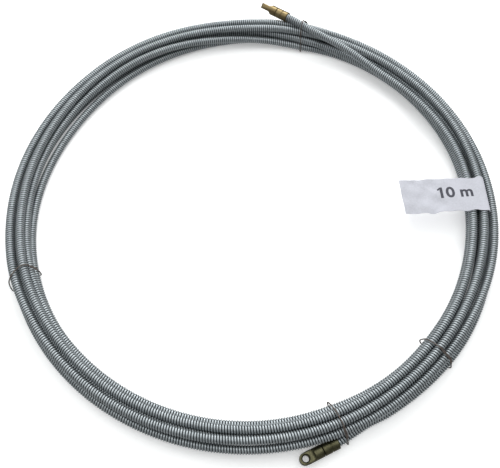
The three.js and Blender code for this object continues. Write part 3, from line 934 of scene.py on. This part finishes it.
def surface(name, look):
    # colour in clouds between clean and tarnished, and a fine grain in the roughness and the bump
    made, tree, shader = material(name)
    vector = put(tree, "ShaderNodeTexCoord").outputs["Object"]
    cloud = put(tree, "ShaderNodeGroup", [("Vector", vector), ("Clean", (*look["clean"], 1)),
                                          ("Tarnished", (*look["tarnished"], 1)),
                                          ("Scale", look["cloudScale"]), ("Amount", look["amount"])],
                name="cloud", node_tree=tarnish)
    tree.links.new(cloud.outputs["Color"], shader.inputs["Base Color"])
    if "stretch" in look:
        stretch = put(tree, "ShaderNodeMapping", [("Vector", vector), ("Scale", look["stretch"])])
        vector = stretch.outputs[0]
    grain = put(tree, "ShaderNodeGroup", [("Vector", vector), ("Scale", look["grainScale"]),
                                          ("Smooth", look["smooth"]), ("Rough", look["rough"])],
                name="grain", node_tree=surfaceGrain)
    tree.links.new(grain.outputs["Roughness"], shader.inputs["Roughness"])
    strength, distance = look["bump"]
    bump = put(tree, "ShaderNodeBump", [("Strength", strength), ("Distance", distance),
                                        ("Height", grain.outputs["Height"])], name="bump")
    tree.links.new(bump.outputs[0], shader.inputs["Normal"])
    shader.inputs["Metallic"].default_value = look["metallic"]
    return made


zincLook = {
    "clean": (0.43, 0.468, 0.488),
    "tarnished": (0.32, 0.352, 0.37),
    "cloudScale": 38.0,
    "amount": 0.8,
    "grainScale": 700.0,
    "smooth": 0.31,
    "rough": 0.5,
    "bump": (0.25, 0.0001),
    "metallic": 0.6,
    # groove: near-black colour down in the grooves, partly oil and dust, partly painted shade between the
    # turns
    "groove": (0.018, 0.022, 0.024),
    "grooveShadeAndDirtFrom": 0.35,
    "grooveShadeAndDirtTo": 0.85,
    "dirtRough": 0.25,
}


def springSteel(look):
    # zinc on the crests; down in the grooves a near-black colour, partly dark oil and dust and partly
    # painted shade between the turns; and duller patches
    made = surface("zinc_plated_spring", look)
    tree, nodes = made.node_tree, made.node_tree.nodes
    depth = put(tree, "ShaderNodeAttribute", attribute_name="groove")
    fade = put(tree, "ShaderNodeMapRange", [("Value", depth.outputs["Fac"]),
                                            ("From Min", look["grooveShadeAndDirtFrom"]),
                                            ("From Max", look["grooveShadeAndDirtTo"])])
    fade.interpolation_type = "SMOOTHSTEP"
    # painted shade: the zinc goes to the groove colour down in each groove, partly oil and dust, partly
    # the shade between the wire turns
    mix = put(tree, "ShaderNodeMix", [("Factor", fade.outputs[0]), (6, nodes["cloud"].outputs["Color"]),
                                      (7, (*look["groove"], 1))], data_type="RGBA")
    worn = put(tree, "ShaderNodeMath", [(0, fade.outputs[0]), (1, look["dirtRough"]),
                                        (2, nodes["grain"].outputs["Roughness"])],
               operation="MULTIPLY_ADD")
    shader = nodes["Principled BSDF"]
    tree.links.new(mix.outputs[2], shader.inputs["Base Color"])
    tree.links.new(worn.outputs[0], shader.inputs["Roughness"])
    return made


brightBrass = {
    "clean": (0.27, 0.212, 0.108),
    "tarnished": (0.15, 0.105, 0.048),
    "cloudScale": 190.0,
    "amount": 0.75,
    "grainScale": 1400.0,
    "smooth": 0.24,
    "rough": 0.44,
    "bump": (0.35, 0.00008),
    "metallic": 0.95,
    "turningMarks": 4200.0,
}
# the tail's brass: darker, partly tarnish and partly painted shade, as the tail fitting lies in shade
tarnishedShadedBrass = {
    **brightBrass,
    "clean": (0.12, 0.115, 0.065),
    "tarnished": (0.05, 0.047, 0.026),
    "cloudScale": 220.0,
    "amount": 0.9,
    "smooth": 0.28,
    "rough": 0.5,
}


def brass(name, look):
    # turning marks run round the axis, from each point's place along the fitting
    made = surface(name, look)
    tree, nodes = made.node_tree, made.node_tree.nodes
    along = put(tree, "ShaderNodeAttribute", attribute_name="along")
    marks = put(tree, "ShaderNodeTexNoise", [("W", along.outputs["Fac"]), ("Scale", look["turningMarks"]),
                                             ("Detail", 4.0)], noise_dimensions="1D")
    both = put(tree, "ShaderNodeMath", [(0, marks.outputs[0]), (1, 2.0),
                                        (2, nodes["grain"].outputs["Height"])], operation="MULTIPLY_ADD")
    tree.links.new(both.outputs[0], nodes["bump"].inputs["Height"])
    return made


tieWireLook = {
    "clean": (0.17, 0.145, 0.13),
    "tarnished": (0.075, 0.06, 0.055),
    "cloudScale": 260.0,
    "amount": 0.8,
    "grainScale": 1800.0,
    "smooth": 0.4,
    "rough": 0.65,
    "bump": (0.3, 0.0001),
    "metallic": 0.5,
}
turnedSteelLook = {
    **tieWireLook,
    "clean": (0.46, 0.46, 0.47),
    "tarnished": (0.3, 0.29, 0.29),
    "smooth": 0.28,
    "rough": 0.5,
    "metallic": 0.95,
}
paperLook = {
    "clean": (0.545, 0.55, 0.605),
    "tarnished": (0.48, 0.485, 0.53),
    "cloudScale": 70.0,
    "amount": 0.9,
    "stretch": (1.0, 4.0, 2.0),  # pulp fibres lie along the flag
    "grainScale": 520.0,
    "smooth": 0.72,
    "rough": 0.92,
    "bump": (0.5, 0.00025),
    "metallic": 0.0,
}
inkLook = {
    "clean": (0.035, 0.036, 0.05),
    "tarnished": (0.06, 0.06, 0.08),
    "cloudScale": 500.0,
    "amount": 0.9,
    "grainScale": 2500.0,
    "smooth": 0.5,
    "rough": 0.8,
    "bump": (0.2, 0.00005),
    "metallic": 0.0,
}


def coat(piece, made):
    piece.data.materials.clear()
    piece.data.materials.append(made)


coat(spring, springSteel(zincLook))
# the tail fitting gets the darker brass, which is partly painted shade
leadBrass, tailBrass = brass("bright_brass", brightBrass), brass("tarnished_shaded_brass", tarnishedShadedBrass)
for end, made in (("lead", leadBrass), ("tail", tailBrass)):
    coat(ferrules[end], made)
    coat(eyeHeads[end], made)
tieMetal = surface("annealed_tie_wire", tieWireLook)
for tie in ties:
    coat(tie, tieMetal)
coat(flag, surface("flag_paper", paperLook))
coat(mark, surface("print_ink", inkLook))
steel = surface("turned_steel", turnedSteelLook)
for end in fittings:
    for part in (f"{end}_stud", f"{end}_core_plug"):
        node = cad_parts[part]
        for slot in node.material_slots:
            slot.material = steel
print("materials made")


# What moves with what.
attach(spring, "coil")
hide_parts("spring_coil", "spring_lead_end", "spring_tail_end")
for end, fitting in fittings.items():
    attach(ferrules[end], "coil")
    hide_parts(f"{end}_ferrule")
    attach(eyeHeads[end], fitting["body"])
    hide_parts(f"{end}_eye_head")
for i, tie in enumerate(ties):
    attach(tie, "coil")
    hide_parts(f"wire_tie_{i + 1}")

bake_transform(flag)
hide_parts("length_flag")
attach(mark, "flag")

# A pale floor, and soft light from overhead, the far side and a little from the left.
studio = {
    "floor": 0.92,
    # floorInGloss is a painted dark reflection: seen in the metal the floor is near black, which paints
    # shade on the lower flanks
    "floorInGloss": 0.10,  # how pale the floor looks in the metal
    "floorGlow": 0.30,  # a lit table, so that shadows on it are faint
    "floorReach": 6.0,
    "floorDrop": 0.0002,
    "lights": [
        # name, place, size, watts
        ("softbox_far", (0.15, 1.25, 1.0), (1.3, 0.6), 15),
        ("softbox_top", (0.0, 0.1, 1.5), (1.6, 1.6), 10),
        ("softbox_left", (-1.2, 0.3, 0.9), (0.7, 0.9), 2),
    ],
    "skyTop": 0.75,
    "skyNear": 0.2,
    "skyColor": (0.97, 1.0, 1.0, 1),
}


def makeFloor():
    reach, down = studio["floorReach"], -studio["floorDrop"]
    points = [(x * reach, y * reach, down) for y in (-1, 1) for x in (-1, 1)]
    floor = makeMesh("floor", points, [[0, 1, 3, 2]], smooth=False)
    made, tree, shader = material("pale_floor")
    shader.inputs["Roughness"].default_value = 0.9
    shader.inputs["Specular IOR Level"].default_value = 0.1
    # painted reflection: glossy rays see the floor dark, so the metal's flanks take painted shade
    path = put(tree, "ShaderNodeLightPath")
    tone = put(tree, "ShaderNodeMix", [("Factor", path.outputs["Is Glossy Ray"]),
                                       (6, (*[studio["floor"]] * 3, 1)),
                                       (7, (*[studio["floorInGloss"]] * 3, 1))], data_type="RGBA")
    tree.links.new(tone.outputs[2], shader.inputs["Base Color"])
    shader.inputs["Emission Color"].default_value = (1, 1, 1, 1)
    shader.inputs["Emission Strength"].default_value = studio["floorGlow"]
    coat(floor, made)


def makeLights():
    for name, place, (width, height), watts in studio["lights"]:
        data = bpy.data.lights.new(name, "AREA")
        data.shape = "RECTANGLE"
        data.size, data.size_y, data.energy = width, height, watts
        lamp = addObject(name, data)
        lamp.location = place
        lamp.rotation_mode = "QUATERNION"
        lamp.rotation_quaternion = (-Vector(place)).to_track_quat("-Z", "Y")
    world = bpy.data.worlds.new("studio")
    world.use_nodes = True
    bpy.context.scene.world = world
    tree = world.node_tree
    ray = put(tree, "ShaderNodeTexCoord")
    # bright overhead and on the far side, dim on the near side: 0.62 z + 0.38 y
    blend = put(tree, "ShaderNodeVectorMath", [(0, ray.outputs["Generated"]), (1, (0, 0.38, 0.62))],
                operation="DOT_PRODUCT")
    level = put(tree, "ShaderNodeMapRange", [("Value", blend.outputs["Value"]), ("From Min", -0.1),
                                             ("From Max", 0.7), ("To Min", studio["skyNear"]),
                                             ("To Max", studio["skyTop"])])
    tree.links.new(level.outputs[0], tree.nodes["Background"].inputs["Strength"])
    tree.nodes["Background"].inputs["Color"].default_value = studio["skyColor"]


makeFloor()
makeLights()
bpy.context.scene.view_settings.view_transform = "Standard"
print("studio lit")
